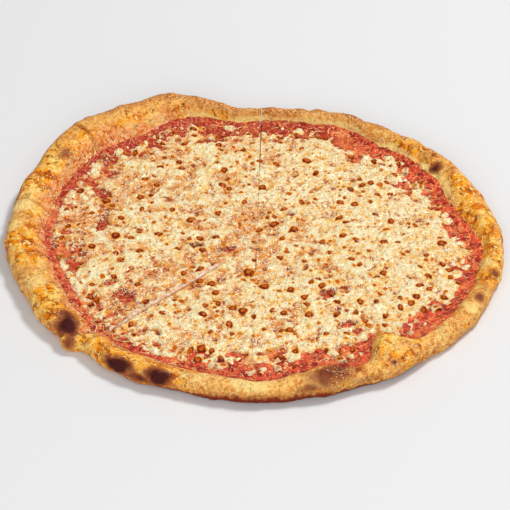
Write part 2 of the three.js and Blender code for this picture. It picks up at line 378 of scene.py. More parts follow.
def rim_detail(points, angle, share):
    """Height of the rim's relief in mm, and the marks that its material reads."""
    radius = np.hypot(points[:, 0], points[:, 1])
    lumps = 1.20 * dapple(points, 24.0, 1) + 0.80 * dapple(points, 11.0, 2) + 0.45 * dapple(points, 5.5, 3)
    grain = 0.25 * dapple(points, 2.6, 4)
    bubbles = nearness(points, bubble_centre, bubble_radius)
    bubble_rise = np.sqrt(bubbles) * BUBBLE_HEIGHT * np.mean(bubble_radius)
    crease = np.zeros(len(points))
    for at, depth, half_width in CREASES:
        turn = turn_from(angle, at)
        across = turn * DEGREE * radius + 2.0 * dapple(points, 9.0, 5)
        crease += depth * np.exp(-(across / half_width) ** 2) * np.clip((share - 1.3) * 2.0, 0.2, 1.0)
    scorch = np.zeros(len(points))
    ragged = 0.25 * dapple(points, 7.0, 6) + 0.12 * dapple(points, 3.0, 7)
    for at, at_share, half_length, half_width, strength in SCORCHES:
        spot_angle = np.array(at * DEGREE)
        centre = around(spot_angle, *rim_surface(spot_angle, at_share))
        turn = turn_from(angle, at)
        along = turn * DEGREE * radius / half_length
        straight = np.linalg.norm(points - centre, axis=1)
        across = np.sqrt(np.maximum(straight ** 2 - (along * half_length) ** 2, 0.0)) / half_width
        spot = np.clip(1.4 - 1.1 * np.hypot(along, across) + ragged, 0.0, 1.0)
        scorch = np.maximum(scorch, strength * spot * (np.abs(turn) < 20))
    dust = np.zeros(len(points))
    for at, span, strength in DUSTINGS:
        turn = np.abs(turn_from(angle, at))
        dust = np.maximum(dust, strength * np.clip(1.4 - turn / span, 0.0, 1.0))
    dust = dust * np.clip(0.75 + 0.5 * dapple(points, 14.0, 8), 0.0, 1.0)
    dust = dust * np.clip((2.75 - share) * 1.6, 0.0, 1.0)
    toast = 0.40 + 0.40 * dapple(points, 16.0, 9) + 0.35 * dapple(points, 5.0, 10)
    toast = np.clip(toast + 0.3 * bubbles, 0.0, 1.0)
    golden = by_angle(angle, GOLDEN_TOPS, 1.5)
    golden = golden + 0.45 * dapple(points, 13.0, 14) + 0.20 * dapple(points, 5.0, 15)
    golden = np.clip(golden + 0.5 * np.clip((share - 2.15) / 0.4, 0.0, 1.0), 0.0, 1.0)
    outer_side = np.clip((1.45 + 1.1 * np.clip(np.sin(angle), 0.0, 1.0) ** 2 - share) / 0.45, 0.0, 1.0)
    outer_side = outer_side * by_angle(angle, BROWN_SIDES, 3.0)
    pale = by_angle(angle, PALE_TOPS, 2.0) * np.clip((share - 1.25) / 0.3, 0.0, 1.0)
    slope = np.clip((share - 2.35) / 0.25, 0.0, 1.0)
    pale = pale + (by_angle(angle, PALE_SLOPES, 2.0) - pale) * slope + 0.6 * dapple(points, 12.0, 17)
    outer_side = np.clip(outer_side + 0.3 * dapple(points, 7.0, 16) * (outer_side > 0.0), 0.0, 1.0)
    soaked = by_angle(angle, STAINED_SLOPES, 4.0)
    stain = 1.0 - (radius - rim_foot(angle) - 6.0 * soaked) / 9.0
    stain = stain + 0.40 * dapple(points, 9.0, 12) + 0.25 * dapple(points, 3.0, 13)
    stain = np.clip(stain, 0.0, 1.0) * (share > 2.05) * soaked
    relief = lumps + bubble_rise - crease + 0.5 * scorch + grain
    # Darker towards the rim's underside, most at the front: painted shade under the rim.
    front = np.clip(1.3 - np.abs(turn_from(angle, 272.0)) / 35.0, 0.0, 1.0)
    below = np.clip(0.5 + 0.75 * front - share / 1.1, 0.0, 1.0)
    marks = {
        "toast": toast,
        "golden": golden,
        "pale": np.clip(pale, 0.0, 1.0),
        "side": outer_side,
        "stain": stain,
        "crease": np.clip(crease, 0.0, 1.0),
        "below": below,
        "scorch": scorch,
        "dust": dust,
    }
    return relief, marks


def colour(red, green, blue):
    """A colour as a painter's 0 to 255 values, turned into linear light."""
    share = np.array([red, green, blue]) / 255.0
    linear = np.where(share > 0.04045, ((share + 0.055) / 1.055) ** 2.4, share / 12.92)
    return (*linear, 1.0)


class Finish:
    """A node material in the making: each call adds one node and gives back its output."""

    def __init__(self, name, roughness, specular=0.5, coat=0.0, coat_roughness=0.2):
        self.material = bpy.data.materials.new(name)
        self.material.use_nodes = True
        self.tree = self.material.node_tree
        self.shader = self.tree.nodes["Principled BSDF"]
        self.shader.inputs["Roughness"].default_value = roughness
        self.shader.inputs["Specular IOR Level"].default_value = specular
        self.shader.inputs["Coat Weight"].default_value = coat
        self.shader.inputs["Coat Roughness"].default_value = coat_roughness
        self.place = self.tree.nodes.new("ShaderNodeTexCoord").outputs["Object"]

    def add(self, kind, inputs, **settings):
        node = self.tree.nodes.new(kind)
        for key, value in settings.items():
            setattr(node, key, value)
        for key, value in inputs.items():
            if isinstance(value, bpy.types.NodeSocket):
                self.tree.links.new(value, node.inputs[key])
            else:
                node.inputs[key].default_value = value
        return node

    def mark(self, name):
        """A value that the mesh carries at each of its points."""
        return self.add("ShaderNodeAttribute", {}, attribute_name=name).outputs["Fac"]

    def noise(self, size, detail=2.0):
        """Noise with features about size mm across."""
        inputs = {"Vector": self.place, "Scale": 1000.0 / size, "Detail": detail, "Roughness": 0.55}
        return self.add("ShaderNodeTexNoise", inputs).outputs["Fac"]

    def lines(self, size, width, detail=1.0):
        """Thin winding lines, 1 on the line, that close round cells about size mm across."""
        off_middle = self.sum(self.noise(size, detail), -0.5)
        away = self.add("ShaderNodeMath", {0: off_middle}, operation="ABSOLUTE").outputs[0]
        return self.between(away, width, 0.0)

    def between(self, value, low, high, start=0.0, end=1.0):
        """Rises smoothly from start to end while the value goes from low to high."""
        inputs = {"Value": value, "From Min": low, "From Max": high, "To Min": start, "To Max": end}
        return self.add("ShaderNodeMapRange", inputs, interpolation_type="SMOOTHSTEP").outputs[0]

    def sum(self, first, second, times=1.0):
        """The first value plus the second one times a number."""
        inputs = {0: second, 1: times, 2: first}
        return self.add("ShaderNodeMath", inputs, operation="MULTIPLY_ADD").outputs[0]

    def product(self, first, second):
        return self.add("ShaderNodeMath", {0: first, 1: second}, operation="MULTIPLY").outputs[0]

    def blend(self, share, first, second):
        """The first colour where share is 0, the second where it is 1."""
        inputs = {0: share, 6: first, 7: second}
        return self.add("ShaderNodeMix", inputs, data_type="RGBA").outputs[2]

    def bump(self, height, rise, strength=1.0, normal=None):
        """Bumps that rise so many mm, on top of any bumps made before."""
        inputs = {"Height": height, "Distance": rise * 0.001, "Strength": strength}
        if normal:
            inputs["Normal"] = normal
        return self.add("ShaderNodeBump", inputs).outputs["Normal"]

    def done(self, base, normal=None):
        """The finished material, with its colour and its bumps joined to the shader."""
        self.tree.links.new(base, self.shader.inputs["Base Color"])
        if normal:
            self.tree.links.new(normal, self.shader.inputs["Normal"])
        return self.material


def dough_finish():
    finish = Finish("baked_dough", 0.5, specular=0.10)
    fine = finish.noise(1.5, 2.0)
    grainy = finish.noise(3.2, 3.0)
    patches = finish.noise(6.0, 3.0)
    broad = finish.noise(15.0, 2.0)
    floury = finish.blend(finish.between(grainy, 0.34, 0.66), colour(220, 140, 62), colour(252, 196, 108))
    floury = finish.blend(finish.between(fine, 0.44, 0.32, 0.0, 0.5), floury, colour(184, 98, 30))
    specks = finish.product(finish.between(fine, 0.56, 0.66), finish.sum(0.35, finish.mark("dust"), 0.6))
    floury = finish.blend(specks, floury, colour(255, 226, 130))
    toast = finish.sum(finish.mark("toast"), finish.sum(broad, -0.5), 3.5)
    toast = finish.sum(toast, finish.sum(patches, -0.5), 2.6)
    toast = finish.sum(toast, finish.sum(grainy, -0.5), 1.2)
    oily = finish.blend(finish.between(toast, -0.5, 0.25), colour(255, 212, 110), colour(250, 162, 26))
    oily = finish.blend(finish.between(toast, 0.45, 0.85), oily, colour(222, 116, 2))
    oily = finish.blend(finish.between(toast, 0.90, 1.5), oily, colour(150, 66, 0))
    oily = finish.blend(finish.between(fine, 0.42, 0.30, 0.0, 0.6), oily, colour(208, 98, 14))
    # Thin pale winding lines on the golden parts: painted highlights.
    oily = finish.blend(finish.product(finish.lines(6.5, 0.044, 1.5), 0.9), oily, colour(255, 226, 140))
    squiggles = finish.product(finish.lines(9.0, 0.040, 2.5), finish.between(patches, 0.44, 0.54))
    oily = finish.blend(finish.product(squiggles, 0.9), oily, colour(150, 60, 12))
    golden = finish.sum(finish.mark("golden"), finish.sum(patches, -0.5), 1.2)
    golden = finish.between(golden, 0.30, 0.70)
    skin = finish.blend(golden, floury, oily)
    flecks = finish.between(finish.noise(4.0, 3.0), 0.58, 0.68, 0.0, 0.7)
    skin = finish.blend(flecks, skin, colour(182, 84, 18))
    pale = finish.sum(finish.mark("pale"), finish.sum(grainy, -0.5), 0.8)
    skin = finish.blend(finish.between(pale, 0.3, 0.9, 0.0, 0.85), skin, colour(255, 222, 138))
    side = finish.sum(finish.mark("side"), finish.sum(grainy, -0.5), 0.9)
    tan = finish.blend(finish.between(fine, 0.40, 0.60), colour(156, 84, 28), colour(232, 154, 86))
    skin = finish.blend(finish.between(side, 0.1, 0.8, 0.0, 0.8), skin, tan)
    stained = finish.blend(finish.between(grainy, 0.38, 0.62), colour(200, 78, 30), colour(248, 156, 94))
    stained = finish.blend(finish.product(finish.lines(5.0, 0.05, 2.0), 0.8), stained, colour(255, 222, 160))
    stain = finish.sum(finish.mark("stain"), finish.sum(grainy, -0.5), 1.4)
    skin = finish.blend(finish.between(stain, 0.10, 0.80, 0.0, 0.9), skin, stained)
    # Brown in the creases, deeper where they sink further: painted shade in the folds.
    skin = finish.blend(finish.product(finish.mark("crease"), 0.5), skin, colour(150, 66, 12))
    # Dark red-brown on the rim's underside: painted shade.
    below = finish.between(finish.sum(finish.mark("below"), finish.sum(grainy, -0.5), 0.7), 0.05, 0.45)
    skin = finish.blend(below, skin, colour(128, 40, 12))
    ragged = finish.sum(finish.mark("scorch"), finish.sum(grainy, -0.5), 0.45)
    skin = finish.blend(finish.between(ragged, 0.0, 0.55, 0.0, 0.9), skin, colour(146, 70, 42))
    skin = finish.blend(finish.between(ragged, 0.42, 0.95), skin, colour(72, 22, 18))
    grain = finish.bump(fine, 1.0, 1.0)
    grain = finish.bump(squiggles, -0.6, 0.8, grain)
    return finish.done(skin, finish.bump(grainy, 2.0, 1.0, grain))


def crumb_finish():
    finish = Finish("torn_crumb", 0.85, specular=0.2)
    holes = finish.between(finish.noise(1.6, 3.0), 0.35, 0.65)
    pores = finish.blend(holes, colour(226, 176, 110), colour(250, 232, 196))
    return finish.done(pores, finish.bump(holes, 0.5))


dough_skin = dough_finish()
crumb = crumb_finish()
top_rows = []
dusted = []
for wedge in range(8):
    rows = []
    angles = []
    shares = []
    tip = tip_angle(wedge)
    for radius in (0.15, 1.0, 4.0, 15.0, 40.0, 70.0, 100.0):
        angle = tip if radius < 1.0 else row_angles(wedge, lambda at: radius + 0.0 * at, 6.0)
        rows.append(around(angle, radius + 0.0 * angle, BED + 0.0 * angle))
        angles.append(angle)
        shares.append(3.0 + 0.0 * angle)
    for share in np.linspace(3.0, 0.0, RIM_ROWS):
        angle = row_angles(wedge, lambda at: rim_surface(at, share)[0], ROW_STEP if share > 0.3 else 2.0)
        rows.append(around(angle, *rim_surface(angle, share)))
        angles.append(angle)
        shares.append(share + 0.0 * angle)
    for radius in (120.0, 80.0, 40.0, 15.0, 4.0, 1.0, 0.15):
        angle = tip if radius < 1.0 else row_angles(wedge, lambda at: radius + 0.0 * at, 6.0)
        rows.append(around(angle, radius + 0.0 * angle, 0.0 * angle))
        angles.append(angle)
        shares.append(0.0 * angle)
    skin, cut_faces = wedge_triangles(rows)
    points = np.concatenate(rows)
    angle = np.concatenate(angles)
    share = np.concatenate(shares)
    relief, marks = rim_detail(points, angle, share)
    before = np.stack(rim_surface(angle, share - 0.02))
    after = np.stack(rim_surface(angle, share + 0.02))
    run, climb = after - before
    length = np.maximum(np.hypot(run, climb), 1e-6)
    fade = np.clip(share / 0.5, 0.0, 1.0) * np.clip((3.0 - share) / 0.15, 0.0, 1.0)
    points[:, 0] += relief * fade * climb / length * np.cos(angle)
    points[:, 1] += relief * fade * climb / length * np.sin(angle)
    points[:, 2] = np.maximum(points[:, 2] - relief * fade * run / length, 0.0)
    top_rows.append(points[share > 1.6])
    dusted.append(points[(marks["dust"] > 0.45) & (share > 1.15) & (share < 2.3)])
    name = f"slice_{wedge + 1}_baked_crust"
    piece = make_piece(name, points, skin, cut_faces, marks, [dough_skin, crumb])
    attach(piece, "root")
    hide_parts(f"slice_{wedge + 1}_crust")

# Height of the dough's upper side on a fine grid, for the layers that lie on it
MAP_CELL = 0.8
MAP_REACH = 190.0
map_side = int(2 * MAP_REACH / MAP_CELL)


def soften(field, size, cell):
    """Gaussian blur by size mm of a square grid whose cells are cell mm apart."""
    wave = 2.0 * np.pi * np.fft.fftfreq(len(field), cell)
    damp = np.exp(-0.5 * (size * wave) ** 2)
    return np.real(np.fft.ifft2(np.fft.fft2(field) * damp[:, None] * damp[None, :]))


tops = np.concatenate(top_rows)
column, row = np.round((tops[:, :2].T + MAP_REACH) / MAP_CELL).astype(int)
heights = np.zeros((map_side, map_side))
weights = np.zeros((map_side, map_side))
np.add.at(heights, (row, column), tops[:, 2])
np.add.at(weights, (row, column), 1.0)
dough_map = (soften(heights, 1.0, MAP_CELL) + 0.01 * BED) / (soften(weights, 1.0, MAP_CELL) + 0.01)


def dough_height(x, y):
    """Height of the upper side of the dough, between the cells of its map."""
    column = (x + MAP_REACH) / MAP_CELL
    row = (y + MAP_REACH) / MAP_CELL
    left, low = column.astype(int), row.astype(int)
    right_share, up_share = column - left, row - low
    lower = dough_map[low, left] * (1 - right_share) + dough_map[low, left + 1] * right_share
    upper = dough_map[low + 1, left] * (1 - right_share) + dough_map[low + 1, left + 1] * right_share
    return lower * (1 - up_share) + upper * up_share


# The sauce. Crushed tomatoes spread thinly over the bed and cooked onto it; it
# shows as a red ring inside the rim and through small holes in the cheese.
SAUCE_TOP = 5.6
SAUCE_BOTTOM = 4.2
SAUCE_CLIMB = 5.0       # how far past the rim's foot it runs before the slope buries it

# How high the sauce rises on the rim's slope: at (degrees), mm
SAUCE_RISES = [(0, 1.2), (130, 1.2), (190, 0.8), (218, 0.2), (250, 0.3), (270, 0.9), (300, 1.1)]

# Where the sauce cooked down darker: at (degrees), how much
DARK_SAUCES = [
    (0, 0.0), (30, 0.1), (58, 0.2), (78, 0.9), (120, 0.9), (150, 0.6), (180, 0.2), (235, 0.2), (300, 0.0),
]


def sauce_height(points, angle, radius):
    pulp = 0.45 * dapple(points, 6.0, 21) + 0.35 * dapple(points, 2.6, 22)
    rim = np.clip((radius - rim_foot(angle)) / SAUCE_CLIMB, -1.0, 1.0)
    return SAUCE_TOP + pulp + by_angle(angle, SAUCE_RISES, 4.0) * np.clip(rim + 0.8, 0.0, 1.8)


def sauce_finish():
    finish = Finish("cooked_tomato_sauce", 0.3, specular=0.2, coat=0.3, coat_roughness=0.1)
    pulp = finish.noise(4.5, 3.0)
    pools = finish.noise(11.0, 3.0)
    fine = finish.noise(1.8, 2.0)
    red = finish.blend(finish.between(pulp, 0.38, 0.62), colour(146, 20, 6), colour(230, 82, 44))
    red = finish.blend(finish.between(pools, 0.50, 0.66, 0.0, 0.8), red, colour(240, 124, 62))
    dark = finish.sum(finish.mark("dark"), finish.sum(pulp, -0.5), 2.0)
    red = finish.blend(finish.between(dark, 0.1, 1.0, 0.0, 0.75), red, colour(150, 26, 20))
    red = finish.blend(finish.product(finish.lines(4.0, 0.04), 0.8), red, colour(255, 176, 104))
    red = finish.blend(finish.between(fine, 0.44, 0.32, 0.0, 0.7), red, colour(120, 10, 0))
    return finish.done(red, finish.bump(fine, 0.6, 1.0, finish.bump(pulp, 2.0, 1.0)))


sauce_red = sauce_finish()
for wedge in range(8):
    rows = []
    tip = tip_angle(wedge)
    insets = np.concatenate([np.arange(30.0, -SAUCE_CLIMB, -0.85), [-SAUCE_CLIMB]])
    for radius in (0.15, 1.0, 3.0, *np.arange(6.0, 96.0, 3.0)):
        angle = tip if radius < 1.0 else row_angles(wedge, lambda at: radius + 0.0 * at, 3.0)
        rows.append(around(angle, radius + 0.0 * angle, 0.0 * angle))
    for inset in insets:
        angle = row_angles(wedge, lambda at: rim_foot(at) - inset, 0.85)
        rows.append(around(angle, rim_foot(angle) - inset, 0.0 * angle))
    top = len(rows)
    angle = row_angles(wedge, lambda at: rim_foot(at) + SAUCE_CLIMB, 3.0)
    rows.append(around(angle, rim_foot(angle) + SAUCE_CLIMB, SAUCE_BOTTOM + 0.0 * angle))
    for radius in (100.0, 60.0, 20.0, 4.0, 1.0, 0.15):
        angle = tip if radius < 1.0 else row_angles(wedge, lambda at: radius + 0.0 * at, 8.0)
        rows.append(around(angle, radius + 0.0 * angle, SAUCE_BOTTOM + 0.0 * angle))
    for row in rows[:top]:
        turn = np.arctan2(row[:, 1], row[:, 0])
        row[:, 2] = sauce_height(row, turn, np.hypot(row[:, 0], row[:, 1]))
    skin, cut_faces = wedge_triangles(rows)
    points = np.concatenate(rows)
    turn = np.arctan2(points[:, 1], points[:, 0])
    marks = {"dark": by_angle(turn, DARK_SAUCES, 4.0) + 0.4 * dapple(points, 9.0, 23)}
    piece = make_piece(f"slice_{wedge + 1}_tomato_sauce", points, skin, cut_faces, marks, [sauce_red])
    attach(piece, "root")
    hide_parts(f"slice_{wedge + 1}_sauce")

# The cheese. Shredded mozzarella that melted into one uneven sheet: cream
# ridges where shreds ran together, thin orange veins between them, a ragged
# edge that breaks up on the sauce, and hundreds of small browned blisters.
CELL = 0.5              # spacing of the grid on which the shreds are laid, mm
REACH = 172.0
SHREDS = 15000
SHRED_LENGTH = (3.0, 12.0)
SHRED_HALF_WIDTH = (0.55, 1.25)
ISLANDS = 260
BLISTERS = [(190, 1.7, 2.5), (230, 1.1, 1.6), (380, 0.7, 1.1)]    # how many, smallest and largest radius, mm
CHEESE_STEP = 0.56
CHEESE_FRINGE = 9.0     # how far past its edge scraps of the cheese can still show, mm

# How thick the cheese is (mm) at some distances inside its edge (mm)
EDGE_THICKNESS = [(-9, -2.2), (-5, -1.2), (-1, -0.3), (3, 0.6), (8, 1.1), (14, 1.7), (28, 2.2)]

# How far inside the rim's foot the cheese ends: at (degrees), inset (mm)
CHEESE_INSETS = [
    (0, 4), (4, 9), (8, 7), (12, 1), (20, -1), (25, 5), (29, 16), (36, 16), (41, 9), (48, 12), (60, 12),
    (75, 10), (88, 7), (97, 7), (104, 7), (109, 4), (116, 4), (121, 9), (128, 8), (150, 6), (160, 5),
    (172, 4), (185, 3), (197, 3), (206, 4), (212, 5), (226, 1), (238, 2), (246, 5), (262, 10), (275, 11),
    (288, 8), (298, 7), (309, 3), (315, 10), (322, 14), (331, 14), (336, 5), (340, 0), (344, 7), (348, 8),
    (352, 2), (355, -1), (358, 0),
]

# Where the cheese's edge breaks up into lumps: at (degrees), how much
RAGGED_EDGES = [
    (0, 0.3), (50, 0.4), (75, 0.3), (98, 0.3), (108, 0.7), (130, 1.0), (210, 1.0), (235, 0.7), (265, 0.5),
    (320, 0.5),
]

# The largest blisters: along X, along Y, radius (mm)
LARGE_BLISTERS = [
    (5, -44, 3.3), (-5, -29, 3.5), (23, -48, 3.0), (12, 22, 3.3), (26, 17, 3.1), (2, 16, 2.9),
    (35, -73, 3.2), (-16, -65, 3.0), (-9, -69, 2.8), (-30, -41, 2.8), (-18, -82, 2.8), (44, -43, 2.7),
    (-45, 27, 3.0), (-97, 10, 3.0), (-105, 48, 2.8), (-81, 52, 2.6), (-67, 11, 2.7), (4, 62, 3.1),
    (-24, 65, 2.7), (36, 93, 3.2), (87, 3, 2.6), (74, 66, 2.6), (93, 25, 2.6), (111, -66, 2.8),
    (107, -54, 2.6), (22, -88, 2.7), (16, -112, 2.7), (-36, -104, 2.9), (127, 2, 2.7), (-38, -27, 2.7),
]

# Holes where the sauce shows: along X, along Y, half length, half width, turn (degrees)
BARE_SPOTS = [
    (48, -50, 8, 3.0, 20), (34, -24, 3, 2, 60), (-3, -3, 5, 2, -30), (-18, -3, 4, 1.6, 20),
    (-43, 1, 5, 1.2, -10), (-88, -52, 6, 3, -40), (-100, -38, 5, 2, 10), (-28, 8, 4, 1.5, 10),
    (-108, 20, 5, 2.5, 70), (8, -108, 7, 2.0, 15), (-66, -88, 6, 3, -30), (-35, 118, 9, 2.5, 8),
    (24, 34, 4, 2, 30), (-12, -110, 6, 2, 0), (60, -80, 5, 2.0, 30), (-108, 58, 4, 5, 20), (40, 30, 3, 2, 0),
]

grid_side = int(2 * REACH / CELL)
grid_places = (np.arange(grid_side) + 0.5) * CELL - REACH
grid_x, grid_y = np.meshgrid(grid_places, grid_places)


def window(x, y, reach):
    """The part of the grid round a place, and the offsets of its cells from that place."""
    low_x, low_y = (max(int((value - reach + REACH) / CELL), 0) for value in (x, y))
    high_x, high_y = (min(int((value + reach + REACH) / CELL) + 1, grid_side) for value in (x, y))
    part = (slice(low_y, high_y), slice(low_x, high_x))
    return part, grid_x[part] - x, grid_y[part] - y


def waves(size):
    """A random field of unit spread whose features are about size mm across."""
    field = soften(chance.normal(0.0, 1.0, (grid_side, grid_side)), 0.4 * size, CELL)
    return field / np.std(field)


def sample(field, x, y):
    """Value of a grid field between its cells."""
    column = np.clip((x + REACH) / CELL - 0.5, 0.0, grid_side - 1.001)
    row = np.clip((y + REACH) / CELL - 0.5, 0.0, grid_side - 1.001)
    left, low = column.astype(int), row.astype(int)
    right_share, up_share = column - left, row - low
    lower = field[low, left] * (1 - right_share) + field[low, left + 1] * right_share
    upper = field[low + 1, left] * (1 - right_share) + field[low + 1, left + 1] * right_share
    return lower * (1 - up_share) + upper * up_share


chance = np.random.default_rng(23)
shred_angle = chance.uniform(0.0, 2.0 * np.pi, SHREDS)
shred_radius = 162.0 * np.sqrt(chance.uniform(0.0, 1.0, SHREDS))
shred_turn = chance.uniform(0.0, np.pi, SHREDS)
shred_length = chance.uniform(*SHRED_LENGTH, SHREDS)
shred_width = chance.uniform(*SHRED_HALF_WIDTH, SHREDS)
shred_bend = chance.normal(0.0, 0.35, SHREDS)
shred_lift = chance.uniform(0.0, 1.0, SHREDS)
strands = np.zeros((grid_side, grid_side))
for number in range(SHREDS):
    x = shred_radius[number] * np.cos(shred_angle[number])
    y = shred_radius[number] * np.sin(shred_angle[number])
    length, width = shred_length[number], shred_width[number]
    part, off_x, off_y = window(x, y, 0.5 * length + width + 0.5)
    cosine, sine = np.cos(shred_turn[number]), np.sin(shred_turn[number])
    along = off_x * cosine + off_y * sine
    across = off_y * cosine - off_x * sine - shred_bend[number] * along ** 2 / 6.0
    distance = np.hypot(np.maximum(np.abs(along) - 0.5 * length, 0.0), across) / width
    dome = np.sqrt(np.clip(1.0 - distance ** 2, 0.0, 1.0))
    rise = np.where(distance < 1.0, 0.6 * shred_lift[number] + 0.4 * dome, 0.0)
    strands[part] = np.maximum(strands[part], rise)
sharp = soften(strands, 0.28, CELL)
level = (sharp - soften(sharp, 2.4, CELL)) / np.std(sharp)
lumps = 0.55 * waves(3.4) + 0.80 * waves(6.5)
sags = 0.7 * waves(16.0) + 0.7 * waves(34.0)
specks = waves(2.0)
oil = 0.9 * waves(2.6) + 0.4 * waves(6.0)

lobe_angle = np.sort(chance.uniform(0.0, 360.0, 70))
lobe_radius = chance.uniform(4.0, 9.0, 70)
lobe_out = chance.uniform(-4.0, 4.0, 70)


def cheese_edge(angle):
    """Radius of the cheese: the hand-laid edge, with round lobes where it ran out."""
    base = rim_foot(angle) - by_angle(angle, CHEESE_INSETS, 1.5)
    reach = base - 2.5
    for at, radius, out in zip(lobe_angle, lobe_radius, lobe_out):
        across = base * turn_from(angle, at) * DEGREE
        lobe = base - radius + out + np.sqrt(np.clip(radius ** 2 - across ** 2, 0.0, None))
        reach = np.where(np.abs(across) < radius, np.maximum(reach, lobe), reach)
    return np.minimum(reach, rim_foot(angle) + 1.5)


# Small lumps of cheese that melted by themselves on the sauce ring
islands = np.zeros((grid_side, grid_side))
blister_spots = [*LARGE_BLISTERS]
for number in range(ISLANDS):
    angle = np.array(chance.uniform(0.0, 2.0 * np.pi))
    radius = chance.uniform(1.4, 3.8)
    if chance.uniform() > by_angle(angle, RAGGED_EDGES, 4.0) - 0.2:
        continue
    middle = min(cheese_edge(angle) + chance.uniform(0.5, 8.0), rim_foot(angle) - 0.5 - 0.8 * radius)
    x, y = middle * np.cos(angle), middle * np.sin(angle)
    part, off_x, off_y = window(x, y, 1.6 * radius)
    distance = np.hypot(off_x, off_y) / radius + 0.25 * lumps[part]
    islands[part] = np.maximum(islands[part], (0.5 + 0.25 * radius) * np.clip(1.0 - distance ** 2, 0.0, 1.0))
    if radius > 2.4 and middle < rim_foot(angle) - 6.0:
        blister_spots.append((x, y, 0.45 * radius))
lobe_middle = cheese_edge(lobe_angle * DEGREE) - 0.75 * lobe_radius
for angle, middle, radius in zip(lobe_angle * DEGREE, lobe_middle, lobe_radius):
    blister_spots.append((middle * np.cos(angle), middle * np.sin(angle), 0.22 * radius + 0.5))
for count, smallest, largest in BLISTERS:
    wanted = len(blister_spots) + count
    while len(blister_spots) < wanted:
        angle = chance.uniform(0.0, 2.0 * np.pi)
        reach = 148.0 * np.sqrt(chance.uniform(0.0, 1.0))
        x, y = reach * np.cos(angle), reach * np.sin(angle)
        radius = chance.uniform(smallest, largest)
        if all(np.hypot(x - spot[0], y - spot[1]) > 1.15 * (radius + spot[2]) for spot in blister_spots):
            blister_spots.append((x, y, radius))
blister_rise = np.zeros((grid_side, grid_side))
browning = np.zeros((grid_side, grid_side))
blister_edge = np.zeros((grid_side, grid_side))
for x, y, radius in blister_spots:
    part, off_x, off_y = window(x, y, 2.2 * radius + 1.0)
    turn, squeeze = chance.uniform(0.0, np.pi), chance.uniform(0.6, 1.0)
    along = off_x * np.cos(turn) + off_y * np.sin(turn)
    across = (off_y * np.cos(turn) - off_x * np.sin(turn)) / squeeze
    distance = np.hypot(along, across) / radius + 0.15 * specks[part]
    strength = np.clip(chance.uniform(-0.2, 0.2) + 0.22 + 0.42 * radius, 0.3, 1.0)
    dome = np.sqrt(np.clip(1.0 - distance ** 2, 0.0, 1.0)) * (0.14 + 0.15 * radius)
    blister_rise[part] = np.maximum(blister_rise[part], dome)
    browning[part] = np.maximum(browning[part], strength * np.clip((1.45 - distance) / 0.6, 0.0, 1.0))
    # Each blister's brown ring is darker on one side, mostly the front: the browned edge, with painted shade
    # on the side away from the light.
    shaded_side = chance.normal(-0.5 * np.pi, 1.2)
    toward_shaded_side = 0.55 + 0.45 * np.cos(np.arctan2(off_y, off_x) - shaded_side)
    rim_of_blister = np.exp(-((distance - 0.78) / 0.32) ** 2) * (0.65 + 0.5 * toward_shaded_side)
    blister_edge[part] = np.maximum(blister_edge[part], strength ** 3 * rim_of_blister)
bare = np.zeros((grid_side, grid_side))
for x, y, half_length, half_width, turn in BARE_SPOTS:
    part, off_x, off_y = window(x, y, 1.8 * half_length)
    along = off_x * np.cos(turn * DEGREE) + off_y * np.sin(turn * DEGREE)
    across = off_y * np.cos(turn * DEGREE) - off_x * np.sin(turn * DEGREE)
    distance = np.hypot(along / half_length, across / half_width) + 0.4 * lumps[part]
    bare[part] = np.maximum(bare[part], np.clip(1.5 - distance, 0.0, 1.0))


def ground(x, y):
    """What the cheese lies on: the sauce, or the slope of the rim where that is higher."""
    return np.maximum(SAUCE_TOP, dough_height(x, y) + 0.2)


